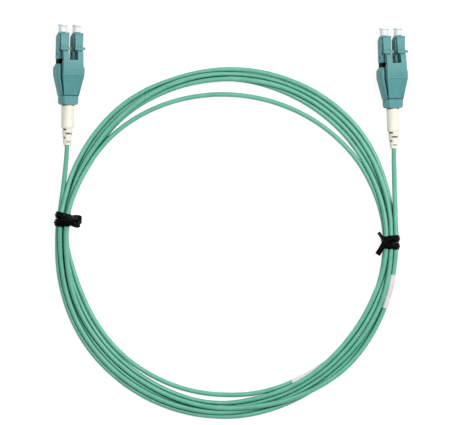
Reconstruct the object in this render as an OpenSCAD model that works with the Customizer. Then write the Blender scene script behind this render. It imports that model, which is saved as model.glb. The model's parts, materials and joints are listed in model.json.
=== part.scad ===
// Duplex fibre optic patch cord: one thin round cable wound into a tied coil,
// with the same two-plug connector on each end and a dust cap on every ferrule.
// Frame: the surface is z = 0, the connectors point along +Y, and the origin is
// midway between them. Each connector is drawn along its own axis, with y = 0
// at the front faces of its plugs and z = 0 on the ferrule axes.

/* [Connector] */
// Distance between the two ferrule axes of one connector
pitch = 6.25; // [6.2:0.05:6.4]
// Width of one plug body
plug_w = 4.5; // [4.4:0.05:4.6]
// Height of one plug body
plug_h = 4.5; // [4.4:0.05:4.6]
// Length of one plug body
plug_len = 11; // [11:0.1:11.2]
// Diameter of the ceramic ferrule
ferrule_d = 1.25; // [1.24:0.005:1.26]
// How far the ferrule stands out of the plug
ferrule_out = 1.6; // [1.2:0.1:1.8]
// Widest half width of the housing
housing_half_w = 6.15; // [6:0.05:6.3]
// Half height of the housing
housing_half_h = 3.4; // [3.4:0.05:3.6]
// Radius of the housing's long edges
housing_edge_r = 1.3; // [0.8:0.1:1.6]
// Outer radius of the boot where it leaves the collar
boot_r = 2.78; // [2.7:0.02:3]
// Outer radius of the boot's tail
boot_tail_r = 1.55; // [1.5:0.05:1.8]
// Grip ribs on the trigger
rib_count = 5; // [3:1:5]

/* [Cord] */
// Diameter of the cable
cord_d = 2; // [1.9:0.05:2]
// Outer radius of the coil
coil_outer_r = 73.3; // [73.3:0.1:74]
// Inner radius of the coil
coil_inner_r = 60.6; // [60:0.1:61]
// Height of the coil lying on the surface
coil_h = 5.5; // [5.5:0.1:6]

/* [Layout] */
// How far each connector is rolled about its own axis
roll = 20; // [20:1:20]
// How far each connector's tail is turned outwards
yaw = 1.4; // [1.4:0.1:1.4]
// Centre of the coil, from the origin
coil_centre = [-1.8, -65.15];

/* [Hidden] */
ENDS = ["a", "b"];
PLUGS = [1, 2];
TIES = ["left", "right"];
END_PARTS = ["plug_frame", "housing_base", "housing_cover", "trigger", "rear_collar",
    "crimp_sleeve", "boot", "cable_end", "fibers"];
PLUG_PARTS = ["plug_body", "latch", "ferrule", "ferrule_flange", "ferrule_spring",
    "stopper", "dust_cap"];

$fn = 48;
eps = 0.01;

// Colours
teal = [0.36, 0.62, 0.61];
aqua = [0.45, 0.75, 0.65];
ivory = [0.93, 0.92, 0.86];
cap_white = [0.96, 0.96, 0.95];
brass = [0.75, 0.62, 0.30];
steel = [0.72, 0.73, 0.75];
black = [0.04, 0.04, 0.05];
label_grey = [0.87, 0.86, 0.86];

// Where the plug fronts of each connector stand
end_pos = [[-67, 22.35], [66.7, 20.95]];
end_turn = [-yaw, yaw];
// Height of the ferrule axes when the rolled housing rests on its lower edge
lift = (housing_half_w - housing_edge_r) * sin(roll)
    + (housing_half_h - housing_edge_r) * cos(roll) + housing_edge_r;

// Stations along the connector
shoulder_y = -4.42;
flange_y = shoulder_y - 0.02;
stopper_y = -8.4;
flange_t = 1.16;
ferrule_seat = 0.46;
frame_y = -plug_len - 0.02;
housing_y = -13;
housing_step_y = -18.3;
collar_y = -26.35;
collar_end_y = -30;
boot_end_y = -46.9;
crimp_y = -24;
crimp_end_y = -36;

// Bores and shafts
nose_r = 1.3;
cavity_r = 1.5;
barrel_r = 1.2;
crimp_r = 1.45;
spigot_r = 2.6;
fibre_r = 0.125;
fit = 0.02;

// Latch and trigger pivots, as [y, z]
latch_pivot = [-1, 2.4];
latch_pin_r = 0.4;
trigger_pivot = [-25.2, 2.3];
trigger_pin_r = 0.45;

// Ears that hold each stopper in its plug, as [rear y, front y]
ear_y = [-9.3, -8.55];

function index_of(end) = end == "a" ? 0 : 1;

module at_end(end) {
    i = index_of(end);
    translate([end_pos[i][0], end_pos[i][1], lift])
        rotate([0, 0, end_turn[i]])
            rotate([0, roll, 0])
                children();
}

module at_plug(end, plug) {
    at_end(end)
        translate([(plug - 1.5) * pitch, 0, 0])
            children();
}

// Extrudes an outline drawn in x and z from y0 up to y1
module along_y(y0, y1) {
    translate([0, y1, 0])
        rotate([90, 0, 0])
            linear_extrude(y1 - y0)
                children();
}

// Extrudes an outline drawn in y and z across x0 to x1
module along_x(x0, x1) {
    translate([x0, 0, 0])
        rotate([90, 0, 90])
            linear_extrude(x1 - x0)
                children();
}

// Extrudes an outline drawn in x and y from z0 up to z1
module along_z(z0, z1) {
    translate([0, 0, z0])
        linear_extrude(z1 - z0)
            children();
}

module rod_y(r, y0, y1) {
    translate([0, y0, 0])
        rotate([-90, 0, 0])
            cylinder(r = r, h = y1 - y0);
}

module rod_x(r, half, at) {
    translate([-half, at[0], at[1]])
        rotate([0, 90, 0])
            cylinder(r = r, h = 2 * half);
}

module block(x0, x1, y0, y1, z0, z1) {
    translate([x0, y0, z0])
        cube([x1 - x0, y1 - y0, z1 - z0]);
}

// Rectangle with its four corners cut off
module cut_rect(half_w, half_h, cut) {
    polygon([
        [-half_w, -half_h + cut], [-half_w + cut, -half_h],
        [half_w - cut, -half_h], [half_w, -half_h + cut],
        [half_w, half_h - cut], [half_w - cut, half_h],
        [-half_w + cut, half_h], [-half_w, half_h - cut]]);
}

// Symmetrical plan outline from [half width, y] pairs, front first
module plan(rows, grow = 0) {
    last = len(rows) - 1;
    right = [for (p = rows) [p[0] + grow, p[1]]];
    left = [for (i = [last : -1 : 0]) [-rows[i][0] - grow, rows[i][1]]];
    polygon(concat(right, left));
}

// ---- Plug parts, drawn about one ferrule axis ----

// The front tapers at the sides and below, but stays square above the brow
module plug_outline() {
    front_cut = 0.75;
    front_len = 1.9;
    brow_z = 0.9;
    intersection() {
        along_y(-plug_len, 0)
            cut_rect(plug_w / 2, plug_h / 2, 0.3);
        union() {
            along_z(-plug_h, plug_h)
                plan([[plug_w / 2 - front_cut, 0], [plug_w / 2, -front_len], [plug_w / 2, -plug_len]]);
            along_z(brow_z, plug_h)
                plan([[plug_w / 2, 0], [plug_w / 2, -plug_len]]);
        }
        along_x(-plug_w, plug_w)
            polygon([
                [0, plug_h / 2], [0, -plug_h / 2 + front_cut], [-front_len, -plug_h / 2],
                [-plug_len, -plug_h / 2], [-plug_len, plug_h / 2]]);
    }
}

module plug_body() {
    nose_end_y = -4;
    neck_r = 0.8;
    window_at = 2;
    window_half_h = 0.6;
    color(teal)
        difference() {
            plug_outline();
            rod_y(nose_r, nose_end_y, 1);
            rod_y(neck_r, shoulder_y - 1, nose_end_y + 1);
            rod_y(cavity_r, -plug_len - 1, shoulder_y);
            rod_x(latch_pin_r + 0.05, window_at, latch_pivot);
            for (side = [-1, 1])
                block(side * window_at - 1, side * window_at + 1, ear_y[0] - 0.1, ear_y[1] + 0.1,
                    -window_half_h, window_half_h);
        }
}

module latch() {
    arm_half = 1.65;
    tail_half = 1.2;
    lug_half = 2.2;
    color(teal)
        union() {
            rod_x(latch_pin_r, arm_half, latch_pivot);
            along_x(-arm_half, arm_half)
                polygon([
                    [-0.7, 2.38], [-1.6, 2.36], [-5.9, 2.95], [-6.3, 3.2],
                    [-6.3, 3.65], [-5.7, 3.55], [-1.2, 2.95], [-0.7, 2.85]]);
            along_x(-tail_half, tail_half)
                polygon([
                    [-6, 3], [-7.4, 3.5], [-11.3, 3.9], [-11.3, 4.58],
                    [-7.3, 4.75], [-7.3, 5.1], [-6.1, 5.1], [-5.9, 4.9]]);
            along_x(-lug_half, lug_half)
                polygon([[-6, 4.2], [-7.2, 4.2], [-7.2, 5], [-6, 5]]);
        }
}

module ferrule() {
    r = ferrule_d / 2;
    bore_r = 0.07;
    tip_cut = 0.2;
    rear_y = flange_y - ferrule_seat;
    color("white")
        rotate([-90, 0, 0])
            rotate_extrude()
                polygon([
                    [bore_r, rear_y], [r, rear_y], [r, ferrule_out - tip_cut],
                    [r - tip_cut, ferrule_out], [bore_r, ferrule_out]]);
}

module ferrule_flange() {
    stem_r = 0.8;
    stem_end_y = -7.4;
    color(brass)
        difference() {
            union() {
                rod_y(cavity_r - 0.05, flange_y - flange_t, flange_y);
                rod_y(stem_r, stem_end_y, flange_y - 1);
            }
            rod_y(ferrule_d / 2, flange_y - ferrule_seat, flange_y + 1);
            rod_y(fibre_r + 0.075, stem_end_y - 1, flange_y);
        }
}

// One ring of a round wire swept along a path
function ring(centre, side, up, r, sides) =
    [for (i = [0 : sides - 1])
        centre + side * r * cos(360 * i / sides) + up * r * sin(360 * i / sides)];

function unit(v) = v / norm(v);

function path_step(points, i) =
    points[min(i + 1, len(points) - 1)] - points[max(i - 1, 0)];

// Faces of a closed tube of count rings
function tube_faces(count, sides) = concat(
    [[for (i = [0 : sides - 1]) i]],
    [for (k = [0 : count - 2], i = [0 : sides - 1])
        let (a = k * sides + i, b = k * sides + (i + 1) % sides)
        [a, a + sides, b + sides, b]],
    [[for (i = [sides - 1 : -1 : 0]) (count - 1) * sides + i]]);

// Tube of radius r along the points, which never run straight along the given axis
module tube(points, r, sides, axis) {
    rings = [for (i = [0 : len(points) - 1])
        let (t = unit(path_step(points, i)), side = unit(cross(axis, t)))
        ring(points[i], side, cross(t, side), r, sides)];
    polyhedron(points = [for (one = rings) each one],
        faces = tube_faces(len(points), sides), convexity = 6);
}

module ferrule_spring() {
    wire_r = 0.15;
    coil_r = 1.1;
    turns = 5;
    per_turn = 12;
    y_front = flange_y - flange_t - wire_r - fit;
    y_rear = stopper_y + wire_r + fit;
    steps = turns * per_turn;
    color(steel)
        tube([for (i = [0 : steps])
            [coil_r * cos(360 * i / per_turn), y_front + (y_rear - y_front) * i / steps,
                coil_r * sin(360 * i / per_turn)]],
            wire_r, 6, [0, 1, 0]);
}

module stopper() {
    ear_half = 2;
    head_half = 1.95;
    head_t = 0.5;
    barrel_end_y = -17.5;
    bore_r = 0.5;
    color(brass)
        difference() {
            union() {
                rod_y(cavity_r - fit, -plug_len, stopper_y);
                block(-ear_half, ear_half, ear_y[0], ear_y[1], -0.5, 0.5);
                along_y(-plug_len - head_t, -plug_len)
                    cut_rect(head_half, head_half, 0.3);
                rod_y(barrel_r, barrel_end_y, -plug_len - head_t + 0.1);
            }
            rod_y(bore_r, barrel_end_y - 1, stopper_y + 1);
        }
}

module dust_cap() {
    lip_r = 2.13;
    grip_r = 1.8;
    stem_r = 1.2;
    bore_r = 0.68;
    front_y = 3.5;
    grip_y = 0.15;
    stem_y = -3;
    bore_y = ferrule_out + 0.4;
    color(cap_white)
        rotate([-90, 0, 0])
            rotate_extrude()
                polygon([
                    [0, bore_y], [bore_r, bore_y], [bore_r, stem_y], [stem_r, stem_y],
                    [stem_r, grip_y], [grip_r, grip_y], [grip_r, front_y - 1],
                    [lip_r, front_y - 0.7], [lip_r, front_y], [0, front_y]]);
}

// ---- Connector parts, drawn about the middle between the two plugs ----

module plug_frame() {
    face_half_w = 5.15;
    face_half_h = 2.2;
    tongue_half_w = 4.6;
    tongue_half_h = 1.9;
    pocket_half = 2;
    notch_half_w = 2.7;
    color(black)
        difference() {
            union() {
                along_y(housing_y + fit, frame_y)
                    cut_rect(face_half_w, face_half_h, 0.3);
                block(-tongue_half_w, tongue_half_w, housing_step_y + 0.3, housing_y + 1,
                    -tongue_half_h, tongue_half_h);
            }
            for (plug = PLUGS)
                translate([(plug - 1.5) * pitch, 0, 0]) {
                    rod_y(barrel_r + fit, housing_step_y - 1, frame_y + 1);
                    block(-pocket_half, pocket_half, frame_y - 0.53, frame_y + 1,
                        -pocket_half, pocket_half);
                }
            block(-notch_half_w, notch_half_w, housing_y + 0.1, frame_y + 1, 0.2, 3);
        }
}

module rounded_slice(y, half_w, half_h, r) {
    along_y(y, y + eps)
        hull()
            for (sx = [-1, 1], sz = [-1, 1])
                translate([sx * (half_w - r), sz * (half_h - r)])
                    circle(r = r, $fn = 32);
}

module housing_form() {
    hull() {
        rounded_slice(housing_y - eps, 5.15, 2.9, 1);
        rounded_slice(-14.6, housing_half_w, housing_half_h, housing_edge_r);
        rounded_slice(-17.6, housing_half_w, housing_half_h, housing_edge_r);
        rounded_slice(collar_y + 0.05, 4.1, 2.95, housing_edge_r);
    }
}

// Spaces inside the housing for the plug frame, the fibres and the crimp sleeve
module housing_hollow() {
    block(-4.65, 4.65, housing_step_y, housing_y + 1, -1.95, 1.95);
    along_z(-1.2, 1.2)
        plan([[4.2, housing_step_y + 1], [4.2, -19.4], [2, -23.6]]);
    rod_y(crimp_r + fit, -30, -23);
}

module housing_base() {
    color(teal)
        difference() {
            union() {
                intersection() {
                    housing_form();
                    block(-8, 8, -40, 0, -8, 0);
                }
                intersection() {
                    rod_y(spigot_r, collar_y - 1.9, collar_y + 0.2);
                    block(-8, 8, -40, 0, -8, 0);
                }
            }
            housing_hollow();
        }
}

CHANNEL_ROWS = [[4.75, housing_y + 2], [4.75, -17.6], [3.35, collar_y + 0.15]];

module housing_cover() {
    color(teal)
        difference() {
            union() {
                intersection() {
                    housing_form();
                    block(-8, 8, -40, 0, fit / 2, 8);
                }
                intersection() {
                    rod_y(spigot_r, collar_y - 1.9, collar_y + 0.2);
                    block(-8, 8, -40, 0, fit / 2, 8);
                }
            }
            housing_hollow();
            intersection() {
                along_z(1.65, 8)
                    plan(CHANNEL_ROWS);
                along_x(-8, 8)
                    polygon([
                        [0, 2.5], [housing_step_y, 2.5], [housing_step_y, 1.65],
                        [-27, 1.65], [-27, 8], [0, 8]]);
            }
            rod_x(trigger_pin_r + 0.05, 4, trigger_pivot);
        }
}

TRIGGER_ROWS = [[4.3, -7.9], [4.3, -17.6], [2.95, -26]];
TRIGGER_TOP = [[-7.9, 5.7], [-11.5, 6], [-13, 6.2], [-17.5, 6], [-26, 3.55]];

module trigger_outside() {
    skirt = [[-26, 2.2], [-25.2, 1.75], [-24.4, 1.9], [-22, 2.75], [-18.5, 3.3],
        [-12.4, 3.75], [-11.4, 5], [-7.9, 4.95]];
    intersection() {
        along_z(0, 8)
            plan(TRIGGER_ROWS);
        along_x(-5, 5)
            polygon(concat(TRIGGER_TOP, skirt));
    }
}

module trigger() {
    finger_half = 1.2;
    finger_root_y = -11.3;
    wall = 0.75;
    rib_half = 3.3;
    rib_r = 0.25;
    rib_sink = 0.15;
    rib_y = -15.5;
    rib_gap = 1.05;
    color(teal)
        difference() {
            union() {
                trigger_outside();
                rod_x(trigger_pin_r, 3.9, trigger_pivot);
                for (i = [0 : rib_count - 1])
                    let (y = rib_y - i * rib_gap)
                    rod_x(rib_r, rib_half, [y, lookup(y, TRIGGER_TOP) - rib_sink]);
            }
            // Hollow between the skirts, under the plate
            intersection() {
                along_z(0, 8)
                    plan([[4.3, -10], TRIGGER_ROWS[1], TRIGGER_ROWS[2]], -wall);
                along_x(-5, 5)
                    polygon([
                        [-10, 5], [-11.5, 5.05], [-13, 5.25], [-17.5, 5.1], [-24.3, 3.1],
                        [-24.3, 0], [-10, 0]]);
            }
            // Gaps either side of the two fingers
            block(-pitch / 2 + finger_half, pitch / 2 - finger_half, finger_root_y, -7, 4, 8);
            for (side = [-1, 1])
                translate([side * (pitch / 2 + finger_half), 0, 0])
                    block(side > 0 ? 0 : -1, side > 0 ? 1 : 0, finger_root_y, -7, 4, 8);
        }
}

module collar_slice(y, half_w, half_h, cut) {
    along_y(y, y + eps)
        cut_rect(half_w, half_h, cut);
}

module rear_collar() {
    color(teal)
        difference() {
            hull() {
                collar_slice(collar_y - eps, 4, 2.95, 1.4);
                collar_slice(collar_end_y + 0.9, 3.95, 2.9, 1.4);
                collar_slice(collar_end_y, 3.4, 2.85, 1.4);
            }
            rod_y(spigot_r + fit, collar_end_y - 1, collar_y + 1);
        }
}

module crimp_sleeve() {
    color(steel)
        difference() {
            rod_y(crimp_r, crimp_end_y + 0.5, crimp_y);
            rod_y(cord_d / 2 + fit, boot_end_y, 0);
        }
}

module boot_profile() {
    neck_y = collar_y - 1.95;
    polygon([
        [cord_d / 2 + fit, boot_end_y], [boot_tail_r - 0.2, boot_end_y],
        [boot_tail_r, boot_end_y + 0.2], [2.4, -39.8], [2.64, -39.3],
        [boot_r, collar_end_y - 0.5], [boot_r - 0.2, collar_end_y - 0.05],
        [spigot_r, collar_end_y - 0.05], [spigot_r, neck_y],
        [crimp_r + fit, neck_y], [crimp_r + fit, crimp_end_y], [cord_d / 2 + fit, crimp_end_y]]);
}

module boot() {
    slot = 0.7;
    slot_y = [-40.3, -42, -43.7, -45.4];
    slot_roll = -3;
    side_roll = 95;
    inner = 1.25;
    spine = 0.55;
    color(ivory)
        difference() {
            rotate([-90, 0, 0])
                rotate_extrude()
                    boot_profile();
            for (i = [0 : len(slot_y) - 1], side = [-1, 1])
                rotate([0, i % 2 == 0 ? side_roll : slot_roll, 0])
                    translate([0, slot_y[i], side * (inner + 2)])
                        cube([6, slot, 4], center = true);
            for (i = [0 : len(slot_y) - 1])
                rotate([0, i % 2 == 0 ? side_roll : slot_roll, 0])
                    translate([0, slot_y[i], 0])
                        cube([spine, slot, 2.2], center = true);
        }
}

module cable_end() {
    color(aqua)
        rod_y(cord_d / 2, boot_end_y, crimp_y - 0.5);
}

module fibers() {
    front_y = -6.9;
    x_plug = pitch / 2;
    color("white")
        for (side = [-1, 1])
            tube([
                [side * 0.4, crimp_y - 0.48, 0], [side * 0.42, -23, 0], [side * 0.9, -21.5, 0],
                [side * (x_plug - 0.9), -19.3, 0], [side * (x_plug - 0.1), -18, 0],
                [side * x_plug, -17, 0], [side * x_plug, -12, 0], [side * x_plug, front_y, 0]],
                fibre_r, 6, [0, 0, 1]);
}

// ---- The cord, its labels and its ties, drawn on the surface ----

// Centre line of each loose end, from its boot down into the coil
tail_points = [
    [[-68.15, -24.57, 4.93], [-68.2, -26.5, 4.8], [-68.4, -29, 4.35], [-68.6, -31.5, 3.7],
        [-68.8, -34, 3.1], [-68.9, -36.5, 2.7], [-69.1, -39, 2.5]],
    [[67.85, -25.97, 4.93], [67.85, -28, 4.8], [67.85, -31, 4.35], [67.9, -34.5, 3.7],
        [68.1, -38.5, 3.1], [68.2, -42.5, 2.7], [68.3, -46, 2.5]]];

// Each tie: its angle round the coil, and the bundle it holds as [inner r, outer r, bottom, top]
tie_angle = [171.8, 0.7];
tie_bundle = [[65.9, 71.3, 1, 5.5], [65, 71.5, 1, 5.2]];
tie_w = 4.6;
tie_t = 0.8;

module at_coil(angle) {
    translate([coil_centre[0], coil_centre[1], 0])
        rotate([0, 0, angle])
            children();
}

// Block across the bundle at a tie, grown on its four sides
module bundle_block(i, grow, width) {
    b = tie_bundle[i];
    translate([b[0] - grow, -width / 2, b[2] - grow])
        cube([b[1] - b[0] + 2 * grow, width, b[3] - b[2] + 2 * grow]);
}

module cord_coil() {
    round_r = 1;
    notch_r = (coil_inner_r + coil_outer_r) / 2;
    color(aqua)
        difference() {
            at_coil(0)
                rotate_extrude($fn = 120)
                    translate([coil_inner_r, 0])
                        polygon([
                            [round_r, 0], [coil_outer_r - coil_inner_r - round_r, 0],
                            [coil_outer_r - coil_inner_r, round_r],
                            [coil_outer_r - coil_inner_r, coil_h - round_r],
                            [coil_outer_r - coil_inner_r - round_r, coil_h],
                            [round_r, coil_h], [0, coil_h - round_r], [0, round_r]]);
            for (i = [0, 1])
                at_coil(tie_angle[i])
                    difference() {
                        translate([notch_r, 0, coil_h / 2])
                            cube([30, tie_w + 0.4, coil_h + 4], center = true);
                        bundle_block(i, 0, tie_w + 2);
                    }
        }
}

module cord_tail(end) {
    color(aqua)
        tube(tail_points[index_of(end)], cord_d / 2, 8, [0, 0, 1]);
}

// A sleeve on one strand: angle, radius, height, tilt from the tangent, half size across, length
label_place = [[301.4, 64.7, 2.2, 0, 1.9, 13], [343.4, 71, 2.2, 0, 1.25, 13.6]];

module label(end) {
    p = label_place[index_of(end)];
    half_h = 1.25;
    color(label_grey)
        at_coil(p[0])
            translate([p[1], 0, p[2]])
                rotate([0, 0, p[3]])
                    along_y(-p[5] / 2, p[5] / 2)
                        cut_rect(p[4], half_h, 0.6);
}

// Two flat ends of each tie: [radius, offset along the coil, turn, length, width]
tie_ends = [
    [[67.4, 0.9, 182, 6, 3], [67.4, -0.9, 174, 6, 3]],
    [[66.2, 0.6, 128, 4.6, 1.4], [66.4, -0.6, 237, 6, 2.2]]];

module tie(i) {
    color(black)
        at_coil(tie_angle[i]) {
            difference() {
                bundle_block(i, tie_t, tie_w);
                bundle_block(i, fit, tie_w + 1);
            }
            for (p = tie_ends[i])
                translate([p[0], p[1], tie_bundle[i][3] + tie_t])
                    rotate([0, 0, p[2]])
                        translate([0, -p[4] / 2, 0])
                            cube([p[3], p[4], 0.7]);
        }
}

// ---- Everything that is drawn ----

for (end = ENDS) {
    at_end(end) plug_frame();
    at_end(end) housing_base();
    at_end(end) housing_cover();
    at_end(end) trigger();
    at_end(end) rear_collar();
    at_end(end) crimp_sleeve();
    at_end(end) boot();
    at_end(end) cable_end();
    at_end(end) fibers();
    cord_tail(end);
    label(end);
}
for (end = ENDS, plug = PLUGS) {
    at_plug(end, plug) plug_body();
    at_plug(end, plug) latch();
    at_plug(end, plug) ferrule();
    at_plug(end, plug) ferrule_flange();
    at_plug(end, plug) ferrule_spring();
    at_plug(end, plug) stopper();
    at_plug(end, plug) dust_cap();
}
cord_coil();
for (i = [0, 1])
    tie(i);
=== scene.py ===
import json
import math

import bmesh
import bpy
import numpy as np
from mathutils import Matrix, Vector


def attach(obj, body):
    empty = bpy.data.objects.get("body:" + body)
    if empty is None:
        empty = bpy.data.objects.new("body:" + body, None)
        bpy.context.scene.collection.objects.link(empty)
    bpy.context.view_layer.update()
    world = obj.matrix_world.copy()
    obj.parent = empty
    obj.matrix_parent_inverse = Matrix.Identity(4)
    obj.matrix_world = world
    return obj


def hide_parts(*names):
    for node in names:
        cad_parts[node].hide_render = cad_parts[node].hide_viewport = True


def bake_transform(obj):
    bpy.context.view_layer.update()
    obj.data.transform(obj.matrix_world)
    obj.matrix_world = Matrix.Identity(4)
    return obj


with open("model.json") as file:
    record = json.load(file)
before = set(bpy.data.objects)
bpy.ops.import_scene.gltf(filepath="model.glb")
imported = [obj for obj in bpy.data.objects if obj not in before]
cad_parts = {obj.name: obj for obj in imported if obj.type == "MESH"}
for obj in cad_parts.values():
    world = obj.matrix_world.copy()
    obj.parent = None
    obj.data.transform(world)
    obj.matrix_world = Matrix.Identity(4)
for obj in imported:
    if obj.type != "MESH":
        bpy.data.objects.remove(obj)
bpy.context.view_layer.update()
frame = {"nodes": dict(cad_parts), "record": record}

MM = 0.001
BODIES = frame["record"]["behaviour"]["bodies"]


def body_of(node):
    """Name of the CAD body that holds a node."""
    return next(body for body, nodes in BODIES.items() if node in nodes)


# ---- Camera -------------------------------------------------------------

CAMERA_HEIGHT = 3000
VIEW_CENTRE = (-2.43, -52.44)
VIEW_WIDTH = 187.5
SENSOR = 36
CLIP = (0.01, 10)


def make_camera():
    data = bpy.data.cameras.new("camera")
    data.sensor_width = SENSOR
    data.lens = SENSOR * CAMERA_HEIGHT / VIEW_WIDTH
    data.clip_start, data.clip_end = CLIP
    camera = bpy.data.objects.new("camera", data)
    camera.location = (VIEW_CENTRE[0] * MM, VIEW_CENTRE[1] * MM, CAMERA_HEIGHT * MM)
    bpy.context.scene.collection.objects.link(camera)
    bpy.context.scene.camera = camera


make_camera()


# ---- Materials ----------------------------------------------------------

PATCH_SCALE = 180
GRAIN_STRENGTH = 0.35
# How far gloss strays to either side of the roughness given, as (smoother, rougher)
GLOSS_SPREAD = (0.06, 0.08)
# Share of open sky over which the painted shade in narrow gaps fades out
PAINTED_SHADE_FADE = 0.55


def linear(colour):
    """A colour written as it looks on a screen, 0 to 255, made linear."""
    out = []
    for value in colour:
        v = value / 255
        out.append(v / 12.92 if v <= 0.04045 else ((v + 0.055) / 1.055) ** 2.4)
    return (*out, 1)


def colour_socket(sockets, name):
    """The colour socket of that name: a Mix node has others for numbers and vectors."""
    return next(s for s in sockets if s.name == name and s.type == "RGBA")


def new_material(name):
    material = bpy.data.materials.new(name)
    material.use_nodes = True
    nodes = material.node_tree.nodes
    return material, nodes, material.node_tree.links, nodes["Principled BSDF"]


def moulded(name, light, dark, roughness, grain, grain_height, ior=1.47, painted_shade=None, reach=2.0,
        closed=0.2, shine=0.5):
    """Plastic or rubber: two close shades in soft patches, uneven gloss and a fine grain.

    Narrow gaps take a painted shade colour, which darkens them where ambient occlusion finds little open
    sky, standing in for the shade that falls there: reach is how wide they may be in mm, and closed the
    share of open sky under which they take it fully."""
    material, nodes, links, shader = new_material(name)
    place = nodes.new("ShaderNodeTexCoord")
    patches = nodes.new("ShaderNodeTexNoise")
    patches.inputs["Scale"].default_value = PATCH_SCALE
    patches.inputs["Detail"].default_value = 4
    shades = nodes.new("ShaderNodeValToRGB")
    shades.color_ramp.elements[0].position = 0.3
    shades.color_ramp.elements[1].position = 0.7
    shades.color_ramp.elements[0].color = linear(dark)
    shades.color_ramp.elements[1].color = linear(light)
    gloss = nodes.new("ShaderNodeMapRange")
    gloss.inputs["To Min"].default_value = roughness - GLOSS_SPREAD[0]
    gloss.inputs["To Max"].default_value = roughness + GLOSS_SPREAD[1]
    fine = nodes.new("ShaderNodeTexNoise")
    fine.inputs["Scale"].default_value = grain
    fine.inputs["Detail"].default_value = 3
    bump = nodes.new("ShaderNodeBump")
    bump.inputs["Strength"].default_value = GRAIN_STRENGTH
    bump.inputs["Distance"].default_value = grain_height
    links.new(place.outputs["Object"], patches.inputs["Vector"])
    links.new(place.outputs["Object"], fine.inputs["Vector"])
    links.new(patches.outputs["Fac"], shades.inputs["Fac"])
    links.new(patches.outputs["Fac"], gloss.inputs["Value"])
    links.new(fine.outputs["Fac"], bump.inputs["Height"])
    # Painted shade: the base colour darkens towards the shade colour in narrow gaps, going by ambient
    # occlusion
    if painted_shade:
        gap = nodes.new("ShaderNodeAmbientOcclusion")
        gap.inputs["Distance"].default_value = reach * MM
        openness = nodes.new("ShaderNodeMapRange")
        openness.inputs["From Min"].default_value = closed
        openness.inputs["From Max"].default_value = closed + PAINTED_SHADE_FADE
        shaded = nodes.new("ShaderNodeMix")
        shaded.data_type = "RGBA"
        colour_socket(shaded.inputs, "A").default_value = linear(painted_shade)
        links.new(gap.outputs["AO"], openness.inputs["Value"])
        links.new(openness.outputs["Result"], shaded.inputs["Factor"])
        links.new(shades.outputs["Color"], colour_socket(shaded.inputs, "B"))
        colour = colour_socket(shaded.outputs, "Result")
    else:
        colour = shades.outputs["Color"]
    links.new(colour, shader.inputs["Base Color"])
    links.new(gloss.outputs["Result"], shader.inputs["Roughness"])
    links.new(bump.outputs["Normal"], shader.inputs["Normal"])
    shader.inputs["IOR"].default_value = ior
    shader.inputs["Specular IOR Level"].default_value = shine
    return material


def translucent(name, colour, roughness, depth):
    """Milky plastic that lets some light through."""
    shade = tuple(v - 8 for v in colour)
    # Painted shade: grey in the narrow gaps of the caps, such as under their lips
    material = moulded(name, colour, shade, roughness, 1500, 0.00001, painted_shade=(120, 126, 130), reach=1.2)
    shader = material.node_tree.nodes["Principled BSDF"]
    shader.inputs["Subsurface Weight"].default_value = 0.5
    shader.inputs["Subsurface Radius"].default_value = (depth, depth, depth)
    shader.inputs["Subsurface Scale"].default_value = 1
    return material


def turned_metal(name, light, dark, roughness):
    """Metal with fine turning marks and slight tarnish."""
    material = moulded(name, light, dark, roughness, 4000, 0.000004)
    material.node_tree.nodes["Principled BSDF"].inputs["Metallic"].default_value = 1
    return material


# Painted shade: deep green in the narrow gaps between strands of the cord
JACKET = moulded("cord_jacket", (106, 180, 156), (94, 168, 143), 0.4, 2600, 0.00002,
    painted_shade=(0, 112, 78), reach=1.7, closed=0.25)
# Painted shade: dark teal in the gaps under the latches and fingers, beside the trigger and between the
# plugs
TEAL = moulded("teal_plastic", (88, 149, 150), (78, 138, 140), 0.5, 1800, 0.000012,
    painted_shade=(8, 64, 60), reach=3.4, closed=0.25, shine=0.4)
# Painted shade: dark brown in the boot's slots
IVORY = moulded("boot_ivory", (238, 234, 220), (230, 225, 210), 0.5, 1600, 0.000015,
    painted_shade=(86, 78, 52), reach=1.2, closed=0.4)
CAP = translucent("cap_white", (226, 229, 232), 0.2, 0.0008)
CERAMIC = moulded("ceramic", (244, 243, 240), (236, 235, 230), 0.12, 3000, 0.000002, 1.9)
BRASS = turned_metal("brass", (214, 178, 92), (180, 140, 62), 0.3)
STEEL = turned_metal("steel", (190, 192, 196), (150, 152, 156), 0.3)
BLACK = moulded("frame_black", (10, 10, 12), (5, 5, 7), 0.7, 1800, 0.00001, shine=0.06)
TIE_BLACK = moulded("tie_black", (4, 4, 5), (1, 1, 2), 0.36, 900, 0.00006, shine=0.12)
PAPER = moulded("label_grey", (222, 217, 219), (208, 203, 206), 0.45, 1200, 0.00003)
GLASS = moulded("glass_fibre", (238, 240, 242), (226, 228, 232), 0.2, 3000, 0.000002)

# Part of the connector: material, slot, and how far its edges are rounded in mm, 0 where it is hidden
FINISH = {
    "plug_frame": (BLACK, "frame_black", 0.1),
    "housing_base": (TEAL, "teal_plastic", 0.12),
    "housing_cover": (TEAL, "teal_plastic", 0.12),
    "trigger": (TEAL, "teal_plastic", 0.16),
    "rear_collar": (TEAL, "teal_plastic", 0.18),
    "plug_body": (TEAL, "teal_plastic", 0.14),
    "latch": (TEAL, "teal_plastic", 0.1),
    "boot": (IVORY, "boot_ivory", 0.1),
    "dust_cap": (CAP, "cap_white", 0.12),
    "stopper": (BRASS, "brass", 0.06),
    "crimp_sleeve": (STEEL, "steel", 0),
    "cable_end": (JACKET, "cord_jacket", 0),
    "fibers": (GLASS, "glass_fibre", 0),
    "ferrule": (CERAMIC, "ceramic", 0),
    "ferrule_flange": (BRASS, "brass", 0),
}


# ---- Making pieces ------------------------------------------------------

MESH_CREASE = 50


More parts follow.
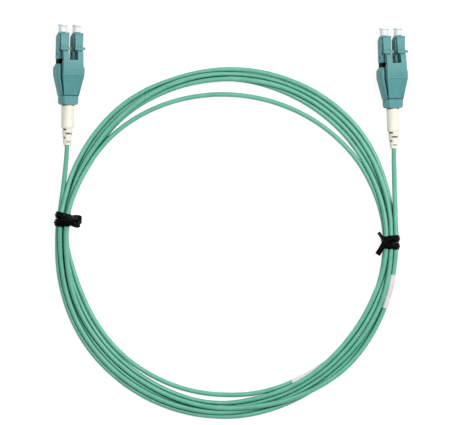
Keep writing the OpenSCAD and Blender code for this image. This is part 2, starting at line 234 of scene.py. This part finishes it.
def add_mesh(name, rings, material, node):
    """A closed shell through rings of points, in mm, which rides where a CAD node does."""
    count = len(rings[0])
    sides = [(i, (i + 1) % count, (i + 1) % count + count, i + count) for i in range(count)]
    faces = [tuple(corner + k * count for corner in side) for k in range(len(rings) - 1) for side in sides]
    faces.append(tuple(range(count - 1, -1, -1)))
    faces.append(tuple((len(rings) - 1) * count + i for i in range(count)))
    mesh = bpy.data.meshes.new(name)
    mesh.from_pydata([tuple(np.asarray(p) * MM) for ring in rings for p in ring], [], faces)
    return add_piece(name, mesh, material, node, MESH_CREASE)


def add_piece(name, mesh, material, node, crease):
    """An object for a mesh, shaded smooth up to the crease angle, which rides where a CAD node does."""
    mesh.materials.clear()
    mesh.materials.append(material)
    for face in mesh.polygons:
        face.use_smooth = True
    mesh.set_sharp_from_angle(angle=math.radians(crease))
    piece = bpy.data.objects.new(name, mesh)
    bpy.context.scene.collection.objects.link(piece)
    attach(piece, body_of(node))
    return piece


# ---- The cord -----------------------------------------------------------

CORD_D = 2
CORD_R = CORD_D / 2
COIL_CENTRE = (-1.8, -64.3)
COIL_STEP = 2.5

# The loose ends, from each boot down to the coil
TAIL_A = [(-68.15, -24.57, 4.93), (-68.2, -26.5, 4.8), (-68.4, -29, 4.35), (-68.6, -31.5, 3.7),
    (-68.8, -34, 3.1), (-68.9, -36.5, 2.7), (-69.1, -39, 2.5)]
TAIL_B = [(67.85, -25.97, 4.93), (67.85, -28, 4.8), (67.85, -31, 4.35), (67.9, -34.5, 3.7),
    (68.1, -38.5, 3.1), (68.2, -42.5, 2.7), (68.3, -46, 2.5)]

# Where the strands run in the lower and the upper half of the coil, outermost first:
# angle round the coil, radius, and layer
LOWER = [
    [(162.5, 71.2, 0.85), (172, 70.2, 1), (181, 70.3, 0.6), (190, 71, 0.2), (200, 71.6, 0),
        (210, 72.3, 0), (220, 72.8, 0), (240, 73.2, 0), (260, 73.3, 0), (270, 73, 0),
        (280, 72.3, 0), (290, 71.8, 0), (300, 71.2, 0), (310, 70.8, 0), (320, 70.5, 0),
        (330, 70, 0), (350, 70, 0)],
    [(181, 69, 2), (190, 69.3, 1.3), (200, 70.2, 0.6), (210, 70.8, 0), (220, 71.2, 0),
        (240, 71.4, 0), (270, 71.3, 0), (280, 70.6, 0), (290, 70.1, 0), (300, 69.6, 0),
        (310, 69.2, 0.4), (320, 69.3, 0.7), (330, 69.2, 0.8), (350, 69, 1)],
    [(181, 68.6, 0), (190, 68.2, 0), (200, 68.5, 0.2), (210, 69.2, 0.6), (230, 69.8, 0.8),
        (250, 70.2, 0.8), (260, 70.2, 0.8), (270, 69.8, 0.4), (280, 69.1, 0), (290, 68.5, 0),
        (300, 68, 0.2), (310, 67.6, 0.8), (320, 67.3, 1.5), (340, 67.2, 1.5), (350, 67.8, 0.6)],
    [(181, 67.6, 1), (190, 66.4, 0.6), (200, 65.9, 0), (220, 66, 0), (230, 66.2, 0), (240, 66.5, 0),
        (250, 67, 0), (262, 67.7, 0), (270, 67.6, 0), (280, 67, 0), (290, 66.5, 0.4),
        (300, 66, 1), (310, 65.5, 0.7), (320, 65.1, 0.3), (330, 65.2, 0.3), (340, 65.6, 0.6),
        (350, 66.5, 1)],
    [(181, 66.8, 0), (190, 65.3, 0), (200, 64.2, 0), (210, 64.1, 0), (220, 64.2, 0), (230, 64.2, 0),
        (240, 64, 0), (270, 64, 0), (280, 64.5, 0), (290, 64.7, 0), (300, 65, 0), (310, 65.6, 0),
        (320, 66.2, 0), (350, 66.2, 0)],
    [(181, 66.7, 2), (190, 66.9, 1.6), (200, 67.6, 1), (210, 67.9, 0.4), (220, 67.9, 0),
        (240, 68.3, 0), (250, 68.8, 0.3), (260, 69.3, 0.9), (270, 69.7, 1.4), (280, 69.9, 1.6),
        (290, 70.8, 1.5), (300, 71.6, 1.2), (310, 72.4, 0.6), (318, 72.5, 0.3), (325, 72.1, 0.2),
        (335, 71.5, 0.2), (343, 71.1, 0.5), (350, 70.4, 1), (357, 70.2, 1.1), (364, 70.3, 1.1),
        (368, 70.9, 1), (372.5, 71.7, 0.9)]]
UPPER = [
    [(0, 70, 0), (14, 69.8, 0), (20, 70.2, 0), (30, 71.3, 0), (40, 72, 0), (50, 72.2, 0),
        (60, 72.1, 0), (80, 71.8, 0), (90, 71.5, 0), (100, 71.1, 0), (110, 70.8, 0),
        (130, 71, 0), (140, 70.6, 0), (150, 70.3, 0.4), (160, 70, 1.2), (172, 69.2, 2)],
    [(0, 68.9, 1), (10, 69, 1), (20, 69.3, 0.9), (30, 69.8, 0.6), (40, 70.2, 0.4), (60, 70.2, 0.4),
        (80, 69.7, 0.4), (90, 69.5, 0.6), (100, 69.3, 1), (110, 69, 1), (118, 68.7, 1),
        (130, 67.9, 1), (140, 67.4, 1), (150, 67, 1), (160, 67.1, 1), (172, 68.2, 1)],
    [(0, 68.1, 0), (20, 67.9, 0), (40, 68.3, 0), (60, 68.3, 0), (70, 68, 0.6), (80, 67.6, 1),
        (100, 67.3, 1), (110, 67.5, 0.7), (120, 67.8, 0.2), (130, 67.5, 0), (140, 67, 0),
        (150, 66.6, 0), (160, 66.6, 0), (172, 67.2, 0)],
    [(0, 66.9, 1), (10, 66.7, 0.8), (20, 66.4, 0.2), (30, 66.2, 0), (50, 66.3, 0), (60, 66.4, 0),
        (70, 66.7, 0), (80, 67.2, 0), (90, 67.6, 0), (100, 68.1, 0), (110, 68.8, 0), (120, 69.3, 0),
        (130, 69.4, 0), (140, 68.8, 0.3), (150, 68.4, 0.3), (160, 68.5, 0), (172, 69.2, 0)],
    [(0, 66.2, 0), (10, 65.6, 0), (20, 64.9, 0), (30, 64.2, 0), (40, 63.2, 0), (50, 62.3, 0),
        (60, 61.6, 0), (70, 61.1, 0), (80, 60.9, 0), (90, 61, 0), (100, 61.4, 0), (110, 62.1, 0),
        (120, 63, 0), (130, 64, 0), (140, 65, 0), (150, 65.7, 0.6), (160, 66.2, 1.4), (172, 67.2, 2)]]
# The lanes in the order in which the cord takes them, from end a to end b
ORDER = [(0, 0), (1, 1), (3, 3), (2, 2), (4, 4), (5, None)]

# Each tie: angle, and the inner and outer radius and the foot of the bundle it holds
TIES = {"left": (172.5, 66, 71.3, 0.9), "right": (-0.5, 65, 71.4, 0.9)}
LAYER_HEIGHT = 1.75
# In degrees from a tie: where its strands are down on the surface again, over how many they come down,
# and how far its bundle is held together
TIE_REACH = 4.8
TIE_SLOPE = 3
TIE_GRIP = 2
SETTLE_ROUNDS = 700
UNSMOOTHED_ROUNDS = 4
PUSHES = 3
# Per round: share of the way back to the chosen lane, mm sunk, and share of the cord's bends eased
LANE_PULL = 0.15
SINK = 0.015
STIFFNESS = 0.35
STRAND_GAP = CORD_D * 1.01
JOIN_REACH = 4
JOIN_ROUNDS = 12


def coil_stations():
    """Angle, radius and layer of each chosen point, in the order of the cord."""
    rows = []
    for turn, (low, up) in enumerate(ORDER):
        rows += [(angle + 360 * turn, radius, layer) for angle, radius, layer in LOWER[low]]
        if up is not None:
            rows += [(angle + 360 * (turn + 1), radius, layer) for angle, radius, layer in UPPER[up]]
    return np.array(rows)


def tie_floor(angle):
    """Height of the surface under the strands, which lie on the tie's wire where there is one."""
    floor = np.zeros_like(angle)
    for centre, _, _, foot in TIES.values():
        away = np.abs((angle - centre + 180) % 360 - 180)
        floor = np.maximum(floor, foot * np.clip((TIE_REACH - away) / TIE_SLOPE, 0, 1))
    return floor


def settle(angle, aim, place):
    """Lets the strands sink on to the surface and on to each other, and pushes them a diameter apart."""
    per_turn = round(360 / COIL_STEP)
    least = tie_floor(angle) + CORD_R
    ends = place[[0, -1]].copy()
    for step in range(SETTLE_ROUNDS):
        place[:, 0] += LANE_PULL * (aim - place[:, 0])
        place[:, 1] -= SINK
        for _ in range(PUSHES):
            for turns in range(1, len(ORDER)):
                shift = per_turn * turns
                gap = place[shift:] - place[:-shift]
                far = np.maximum(np.hypot(gap[:, 0], gap[:, 1]), 1e-6)
                push = np.clip(STRAND_GAP - far, 0, None)[:, None] * gap / far[:, None] / 2
                place[shift:] += push
                place[:-shift] -= push
            for centre, inner, outer, _ in TIES.values():
                held = np.abs((angle - centre + 180) % 360 - 180) < TIE_GRIP
                place[held, 0] = np.clip(place[held, 0], inner + CORD_R, outer - CORD_R)
            place[:, 1] = np.maximum(place[:, 1], least)
        place[[0, -1]] = ends
        if step < SETTLE_ROUNDS - UNSMOOTHED_ROUNDS:
            place[1:-1] += STIFFNESS * (place[:-2] + place[2:] - 2 * place[1:-1])
    return place


def coil_points():
    """Angles and points of the coil, in mm: the strands beside and on each other, a diameter apart."""
    rows = coil_stations()
    angle = np.arange(rows[0, 0], rows[-1, 0] + COIL_STEP / 2, COIL_STEP)
    radius = np.interp(angle, rows[:, 0], rows[:, 1])
    height = CORD_R + LAYER_HEIGHT * np.interp(angle, rows[:, 0], rows[:, 2])
    place = settle(angle, radius, np.stack([radius, height], 1))
    turn = np.radians(angle)
    return angle, np.stack([COIL_CENTRE[0] + place[:, 0] * np.cos(turn),
        COIL_CENTRE[1] + place[:, 0] * np.sin(turn), place[:, 1]], 1)


COIL_ANGLE, COIL = coil_points()


def cord_points():
    """The whole cord from boot to boot, with the joins between its coil and its loose ends eased."""
    points = np.array(TAIL_A + [tuple(p) for p in COIL] + TAIL_B[::-1])
    for join in (len(TAIL_A), len(points) - len(TAIL_B)):
        near = slice(join - JOIN_REACH, join + JOIN_REACH)
        for _ in range(JOIN_ROUNDS):
            middle = (points[near.start - 1:near.stop - 1] + points[near.start + 1:near.stop + 1]) / 2
            points[near] += 0.5 * (middle - points[near])
    return points


def make_cord():
    points = cord_points()
    data = bpy.data.curves.new("cord", "CURVE")
    data.dimensions = "3D"
    data.bevel_depth = CORD_R * MM
    data.bevel_resolution = 6
    data.use_fill_caps = True
    spline = data.splines.new("POLY")
    spline.points.add(len(points) - 1)
    for target, point in zip(spline.points, points):
        target.co = (*(point * MM), 1)
    spline.use_smooth = True
    data.materials.append(JACKET)
    cord = bpy.data.objects.new("cord", data)
    bpy.context.scene.collection.objects.link(cord)
    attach(cord, body_of("cord_coil"))
    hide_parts("cord_coil", "cord_tail_a", "cord_tail_b")
    return cord


make_cord()


# ---- Labels on the cord -------------------------------------------------

# Turn of the cord, and the angles between which each label lies
LABEL_SLEEVE = (5, 337, 348.5)
LABEL_FLAG = (4, 295, 307)
LABEL_R = 1.25
FILM_T = 0.12
FLAG_REACH = 2.4


def strand(turn, start, end, step=0.5):
    """Points of the cord on its given turn, and the outward direction at each."""
    angle = np.arange(start, end + step / 2, step)
    at = angle + 360 * turn
    points = np.stack([np.interp(at, COIL_ANGLE, COIL[:, i]) for i in range(3)], 1)
    turned = np.radians(angle)
    return points, np.stack([np.cos(turned), np.sin(turned), 0 * turned], 1)


def swept(points, outward, section):
    """Rings of a section, drawn as (outward, up) offsets, along the points."""
    up = np.array([0, 0, 1])
    return [[p + out * u + up * w for u, w in section] for p, out in zip(points, outward)]


def arc(radius, start, end, step):
    """Points on an arc round the cord, in degrees from the outward side over the top."""
    return [(radius * math.cos(a), radius * math.sin(a)) for a in np.radians(np.arange(start, end, step))]


def make_labels():
    # A film shrunk round the cord, with a fine seam under it
    tube = arc(LABEL_R, -90, 269, 12) + arc(LABEL_R - FILM_T, -90, 269, 12)[::-1]
    sleeve = add_mesh("label_sleeve", swept(*strand(*LABEL_SLEEVE), tube), PAPER, "label_b")
    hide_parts("label_b")
    # A film folded over the cord, whose two ends are stuck together as a flat flag on the outer side
    fold = arc(LABEL_R - FILM_T, 240, -1, -15)
    flag = [(1.5, -0.72), (FLAG_REACH, -0.8), (FLAG_REACH, -0.8 - FILM_T), (0.6, -0.98), (-0.3, -1)]
    piece = add_mesh("label_flag", swept(*strand(*LABEL_FLAG), fold + flag), PAPER, "label_a")
    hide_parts("label_a")


make_labels()


# ---- Twist ties ---------------------------------------------------------

WRAP_HALF = 1.45
WIRE_R = 0.42

# The flat wire seen from its end, as (share of the half width, height): a round core between two
# thin wings that sag towards the bundle
WIRE_SECTION = [(-1, -0.42), (-0.7, -0.24), (-0.3, -0.14), (0, -0.12), (0.3, -0.14), (0.7, -0.24),
    (1, -0.42), (1, -0.22), (0.75, -0.02), (0.3, 0.14), (0.22, 0.34), (0, WIRE_R), (-0.22, 0.34),
    (-0.3, 0.14), (-0.75, -0.02), (-1, -0.22)]

# The free ends of each tie, from the bundle's top inwards: half width of the wire, then points as
# (distance out from the bundle's inner side, distance along the coil, height above the knot, roll)
FREE_ENDS = {
    "left": [
        (1.95, [(3.4, 0.3, 0, 0), (1, 0.1, 0.35, 4), (-1.4, -0.4, 0.2, 8), (-3, -0.7, -0.1, 14),
            (-3.6, -0.7, -0.8, 10), (-2.8, -0.5, -1.4, 0), (-0.6, 0, -1.5, 0)]),
        (1.75, [(3, -0.8, -0.1, 0), (0.6, -0.3, 0, -6), (-1.4, 0.5, 0.4, -12), (-2.7, 0.9, 0.2, -18),
            (-3.3, 0.9, -0.6, -10), (-2.4, 0.6, -1, 0)])],
    "right": [
        (0.75, [(3.4, -0.6, 0, 0), (1.4, 0.2, 0.3, 0), (0.2, 1.3, 0.2, -8), (-0.9, 2.7, 0, -12),
            (-1.9, 4.1, -0.1, -12)]),
        (1.15, [(3.2, 1.2, 0, 0), (1.4, 0.5, 0.1, 0), (0.3, -0.9, 0.2, 8), (-0.9, -3, -0.1, 12),
            (-2.2, -5.1, -0.5, 12)])]}
# Each wrap: where it lies along the coil at the knot and at the far side, and how far it is lifted
WRAPS = [(1.15, 1.6, 0.3), (-1.1, -1.55, 0)]
KNOT_RISE = 0.95
# Degrees of the coil over which the bundle under a tie is measured
BUNDLE_SPAN = 3
# The crumpling: degrees of roll, share of the width it strays by, and rings over which it is evened out
CRUMPLE_ROLL = 9
CRUMPLE_WIDTH = 0.05
CRUMPLE_RINGS = 5


def bundle_at(angle):
    """Inner and outer radius and top of the strands at an angle, in mm."""
    near = np.abs((COIL_ANGLE - angle + 180) % 360 - 180) < BUNDLE_SPAN
    radius = np.hypot(COIL[near, 0] - COIL_CENTRE[0], COIL[near, 1] - COIL_CENTRE[1])
    return radius.min() - CORD_R, radius.max() + CORD_R, COIL[near, 2].max() + CORD_R


def smooth_line(points, steps=8):
    """A smooth line through the points, as a Catmull-Rom curve."""
    p = np.array([points[0], *points, points[-1]], float)
    out = []
    for i in range(1, len(p) - 2):
        for t in np.arange(steps) / steps:
            out.append(0.5 * (2 * p[i] + (p[i + 1] - p[i - 1]) * t
                + (2 * p[i - 1] - 5 * p[i] + 4 * p[i + 1] - p[i + 2]) * t * t
                + (3 * p[i] - p[i - 1] - 3 * p[i + 1] + p[i + 2]) * t ** 3))
    return np.array(out + [p[-2]])


def ribbon(name, side, rows, half, wraps):
    """The flat wire of a tie along rows of (outward, along, up, roll), slightly crumpled.

    A wire that wraps lies square across the bundle, and a free end lies flat."""
    line = smooth_line(rows)
    turned = Matrix.Rotation(math.radians(TIES[side][0]), 3, "Z")
    centre = Vector((*COIL_CENTRE, 0))
    random = np.random.default_rng(len(name) + len(rows))
    stray = random.normal(0, 1, len(line) + 8)
    crumple = np.convolve(stray, np.ones(CRUMPLE_RINGS) / CRUMPLE_RINGS, "valid")
    rings = []
    for k, (u, v, w, roll) in enumerate(line):
        ahead = Vector(line[min(k + 1, len(line) - 1)][:3]) - Vector(line[max(k - 1, 0)][:3])
        ahead.normalize()
        across = Vector((0, 1, 0)) if wraps else Vector((0, 0, 1)).cross(ahead)
        across = (across - ahead * across.dot(ahead)).normalized()
        across = Matrix.Rotation(math.radians(roll + CRUMPLE_ROLL * crumple[k]), 3, ahead) @ across
        normal = ahead.cross(across)
        width = half * (1 + CRUMPLE_WIDTH * crumple[k + 3])
        rings.append([tuple(centre + turned @ (Vector((u, v, w)) + across * a * width + normal * b))
            for a, b in WIRE_SECTION])
    return add_mesh(name, rings, TIE_BLACK, f"tie_{side}")


def wrap_rows(side, near, far, lift):
    """One wrap round the bundle, from its inner top edge out, down, back under it and up again."""
    inner, outer, top = bundle_at(TIES[side][0])
    low = inner - 0.3
    high = outer + 0.15
    roof = top + 0.3 + lift
    under = WIRE_R + 0.12
    middle = (low + high) / 2
    between = (near + far) / 2
    waist = (roof + under) / 2
    over = [(low + 0.3, near, roof), (low + 1.6, near, roof + 0.1), (middle, between, roof),
        (high - 1, far, roof - 0.1)]
    down = [(high, far, roof - 1.1), (high + 0.1, far, waist), (high - 0.1, far, under + 0.8)]
    back = [(high - 1, far, under), (middle, between, under), (low + 1, near, under)]
    up = [(low, near, under + 0.9), (low - 0.1, near, waist), (low + 0.1, near, roof - 0.6)]
    return [(*point, 0) for point in over + down + back + up]


def make_ties():
    for side in TIES:
        inner, _, top = bundle_at(TIES[side][0])
        knot = top + KNOT_RISE
        for i, wrap in enumerate(WRAPS):
            piece = ribbon(f"tie_{side}_wrap_{i + 1}", side, wrap_rows(side, *wrap), WRAP_HALF, True)
            if i == 0:
                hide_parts(f"tie_{side}")
        for i, (half, places) in enumerate(FREE_ENDS[side]):
            rows = [(inner + u, v, knot + w, roll) for u, v, w, roll in places]
            ribbon(f"tie_{side}_end_{i + 1}", side, rows, half, False)


make_ties()


# ---- Connectors ---------------------------------------------------------

WELD = 0.000002
FLAT_ANGLE = 1
CREASE = 32
EDGE_STEPS = 3


def rounded(node, material, radius):
    """A copy of a CAD part with its edges rounded, which stands for it and moves with it."""
    mesh = frame["nodes"][node].data.copy()
    build = bmesh.new()
    build.from_mesh(mesh)
    bmesh.ops.remove_doubles(build, verts=build.verts, dist=WELD)
    flat = math.radians(FLAT_ANGLE)
    bmesh.ops.dissolve_limit(build, angle_limit=flat, verts=build.verts, edges=build.edges)
    build.to_mesh(mesh)
    build.free()
    piece = add_piece(f"{node}_shell", mesh, material, node, CREASE)
    bevel = piece.modifiers.new("edges", "BEVEL")
    bevel.width = radius * MM
    bevel.segments = EDGE_STEPS
    bevel.limit_method = "ANGLE"
    bevel.angle_limit = math.radians(CREASE)
    normals = piece.modifiers.new("normals", "WEIGHTED_NORMAL")
    normals.keep_sharp = False
    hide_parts(node)


def dress(node, material):
    """Gives a CAD part its finish."""
    mesh = frame["nodes"][node].data
    if not mesh.materials:
        mesh.materials.append(material)
    for place in frame["nodes"][node].material_slots:
        place.material = material


def make_connectors():
    for node in frame["nodes"]:
        part = node.rsplit("_", 1)[0]
        if part in FINISH:
            material, slot, radius = FINISH[part]
            if radius:
                rounded(node, material, radius)
            else:
                dress(node, material)


def make_springs():
    """Steel copies of the ferrule springs, which stand in place of the CAD springs."""
    for joint in frame["record"]["behaviour"]["joints"]:
        if not joint["name"].startswith("ferrule_float_"):
            continue
        node = joint["name"].replace("ferrule_float", "ferrule_spring")
        mesh = frame["nodes"][node].data.copy()
        mesh.materials.clear()
        mesh.materials.append(STEEL)
        piece = bpy.data.objects.new(f"{node}_coil", mesh)
        bpy.context.scene.collection.objects.link(piece)
        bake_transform(piece)
        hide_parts(node)


make_connectors()
make_springs()


# ---- Floor and light ----------------------------------------------------

# Half the floor's side in metres, and its own light, which keeps it as pale as paper
FLOOR_HALF = 1.2
FLOOR_GLOW = 0.84
SKY_STRENGTH = 0.22


def make_floor():
    mesh = bpy.data.meshes.new("floor")
    corners = [(x * FLOOR_HALF, y * FLOOR_HALF, 0) for x, y in ((-1, -1), (1, -1), (1, 1), (-1, 1))]
    mesh.from_pydata(corners, [], [(0, 1, 2, 3)])
    floor = bpy.data.objects.new("floor", mesh)
    bpy.context.scene.collection.objects.link(floor)
    material, _, _, shader = new_material("floor")
    shader.inputs["Base Color"].default_value = (0.3, 0.3, 0.3, 1)
    shader.inputs["Roughness"].default_value = 0.9
    shader.inputs["Specular IOR Level"].default_value = 0.1
    shader.inputs["Emission Color"].default_value = (1, 1, 1, 1)
    shader.inputs["Emission Strength"].default_value = FLOOR_GLOW
    mesh.materials.append(material)


def make_light(name, place, aim, size, power):
    data = bpy.data.lights.new(name, "AREA")
    data.shape = "DISK"
    data.size = size
    data.energy = power
    light = bpy.data.objects.new(name, data)
    light.location = place
    light.rotation_euler = (Vector(aim) - Vector(place)).to_track_quat("-Z", "Y").to_euler()
    bpy.context.scene.collection.objects.link(light)


def make_studio():
    world = bpy.data.worlds.new("studio")
    world.use_nodes = True
    world.node_tree.nodes["Background"].inputs["Color"].default_value = (1, 1, 1, 1)
    world.node_tree.nodes["Background"].inputs["Strength"].default_value = SKY_STRENGTH
    bpy.context.scene.world = world
    bpy.context.scene.view_settings.view_transform = "Standard"
    aim = (0, -0.05, 0)
    make_light("key", (0.6, 0.3, 1.15), aim, 0.45, 15)
    make_light("fill", (-0.4, 0.4, 1.3), aim, 0.7, 5)


make_floor()
make_studio()
